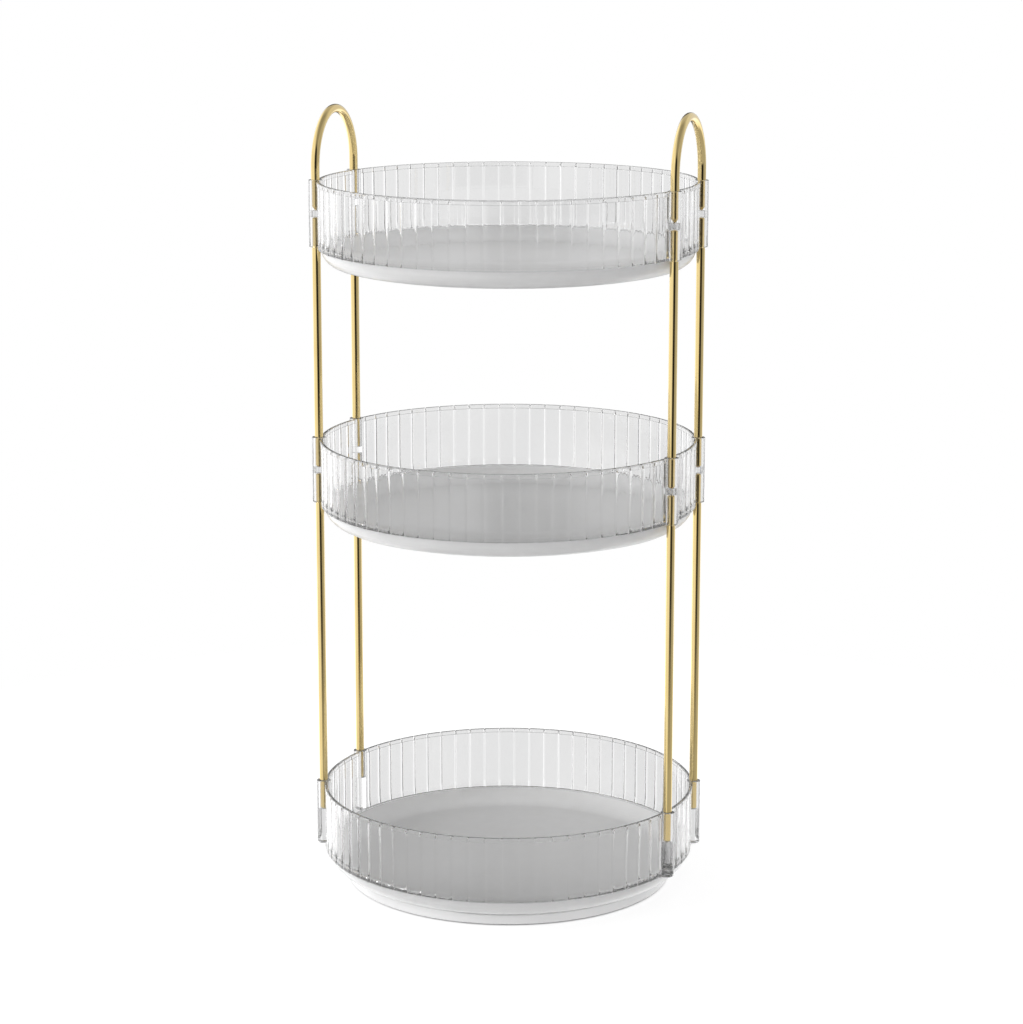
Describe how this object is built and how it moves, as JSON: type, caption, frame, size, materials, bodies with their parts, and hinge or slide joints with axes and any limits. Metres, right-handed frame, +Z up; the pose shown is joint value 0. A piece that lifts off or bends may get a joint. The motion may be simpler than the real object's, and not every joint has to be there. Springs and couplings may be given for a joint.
{
  "type": "rotating makeup organizer",
  "caption": "Round tiered organizer: fluted clear trays on slim gold rods with arched handles, turning on a low ball-bearing base.",
  "frame": {"origin": "on the turning axis, at the surface that the pads stand on", "axes": "+Z up along the turning axis, +X towards the middle of one handle, +Y to the back"},
  "size_m": [0.2426, 0.2424, 0.5032],
  "materials": {
    "clear_plastic": "clear injection-moulded polystyrene, glossy, faint grey edges",
    "frosted_plastic": "translucent moulded plastic, softly glossy",
    "gold_metal": "polished pale gold plating on steel rod",
    "steel": "ground bearing steel",
    "cage_plastic": "natural nylon",
    "pad_rubber": "soft grey non-slip pad"
  },
  "bodies": {
    "base": {"base_plate": "frosted_plastic", "base_feet": "pad_rubber", "centre_pin": "steel", "retaining_washer": "steel"},
    "ball_ring": {"ball_cage": "cage_plastic", "bearing_balls": "steel"},
    "carousel": {"turntable_plate": "frosted_plastic", "tray_bottom": "clear_plastic", "tray_middle": "clear_plastic", "tray_top": "clear_plastic", "lower_rod_back_right": "gold_metal", "upper_rod_back_right": "gold_metal", "lower_rod_front_right": "gold_metal", "upper_rod_front_right": "gold_metal", "lower_rod_back_left": "gold_metal", "upper_rod_back_left": "gold_metal", "lower_rod_front_left": "gold_metal", "upper_rod_front_left": "gold_metal", "handle_right": "gold_metal", "handle_left": "gold_metal"}
  },
  "joints": [
    {"name": "tray_spin", "type": "hinge", "parent": "base", "child": "carousel", "pos_m": [0, 0, 0.00556], "axis": [0, 0, 1], "continuous": true},
    {"name": "ball_ring_spin", "type": "hinge", "parent": "base", "child": "ball_ring", "pos_m": [0, 0, 0.00408], "axis": [0, 0, 1], "continuous": true}
  ],
  "couplings": [
    {"joint": "ball_ring_spin", "follows": "tray_spin", "ratio": 0.5}
  ]
}
